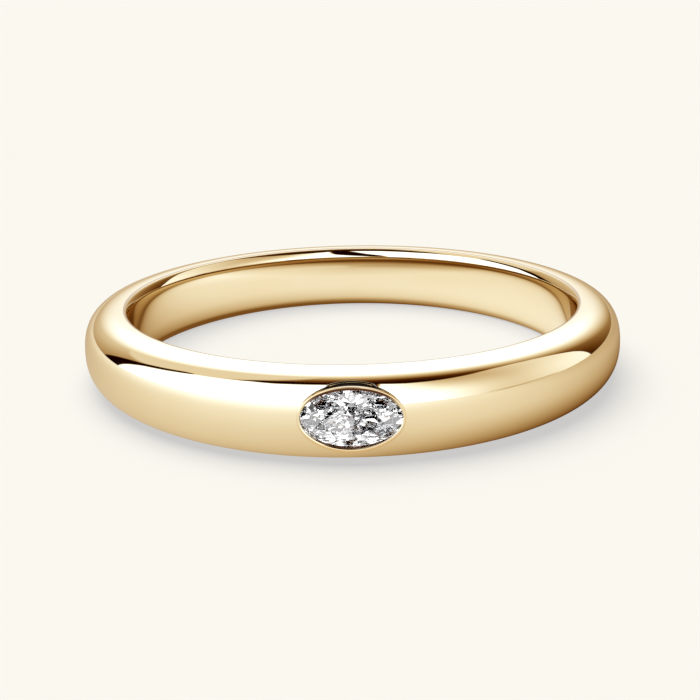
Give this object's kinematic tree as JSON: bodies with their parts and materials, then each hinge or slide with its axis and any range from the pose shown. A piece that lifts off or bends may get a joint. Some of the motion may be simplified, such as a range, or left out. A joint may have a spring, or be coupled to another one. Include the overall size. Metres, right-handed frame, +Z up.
{
  "type": "domed band ring with flush-set oval stone",
  "caption": "Domed metal finger ring, wider at the front, with an oval faceted stone set flush in a thin raised rim.",
  "frame": {"origin": "under the middle of the finger hole, on the surface that the ring lies on; the middle of the box is within 0.2 mm of it", "axes": "-Y towards the stone, +Z up off the surface; the hole's axis leans 1.65 degrees from +Z towards +Y, because the band is wider at the stone and rests on its lower edge"},
  "size_m": [0.0212, 0.0206, 0.0035],
  "materials": {
    "gold": "polished yellow gold",
    "diamond": "clear faceted stone"
  },
  "bodies": {
    "root": {"band": "gold", "stone": "diamond"}
  },
  "joints": []
}
